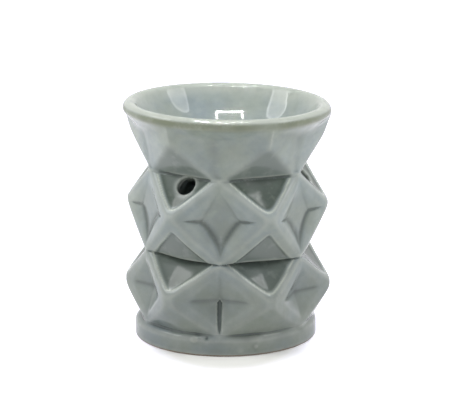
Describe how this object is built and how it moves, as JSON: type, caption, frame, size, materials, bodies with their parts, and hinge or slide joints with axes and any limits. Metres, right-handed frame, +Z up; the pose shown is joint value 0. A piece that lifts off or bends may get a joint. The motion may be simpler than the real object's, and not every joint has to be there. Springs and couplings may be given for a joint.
{
  "type": "oil burner",
  "caption": "Faceted glazed ceramic oil burner: a round oil dish on a hollow two-tier body with vents and an arched doorway, on a round foot, with a tealight inside.",
  "frame": {"origin": "centre of the foot's underside, on the burner's vertical axis", "axes": "+Z up; the doorway faces +Y; one vent faces -Y"},
  "size_m": [0.0968, 0.0968, 0.1115],
  "materials": {
    "glazed_stoneware": "glossy grey-green glaze, paler where it breaks over the ridges and darker where it pools; bare clay under the foot",
    "cup_aluminium": "thin pressed sheet, fluted side",
    "paraffin_wax": "white paraffin wax, slightly translucent",
    "wick_cotton": "braided cotton, waxed",
    "sustainer_tinplate": "thin tinplate"
  },
  "bodies": {
    "burner": {"foot_disc": "glazed_stoneware", "body_shell": "glazed_stoneware", "bowl": "glazed_stoneware"},
    "tealight": {"tealight_cup": "cup_aluminium", "tealight_wax": "paraffin_wax", "tealight_wick": "wick_cotton", "wick_sustainer": "sustainer_tinplate"}
  },
  "joints": [
    {"name": "tealight_slide", "type": "slide", "parent": "burner", "child": "tealight", "axis": [0, 1, 0], "range_m": [-0.013, 0.085]}
  ]
}
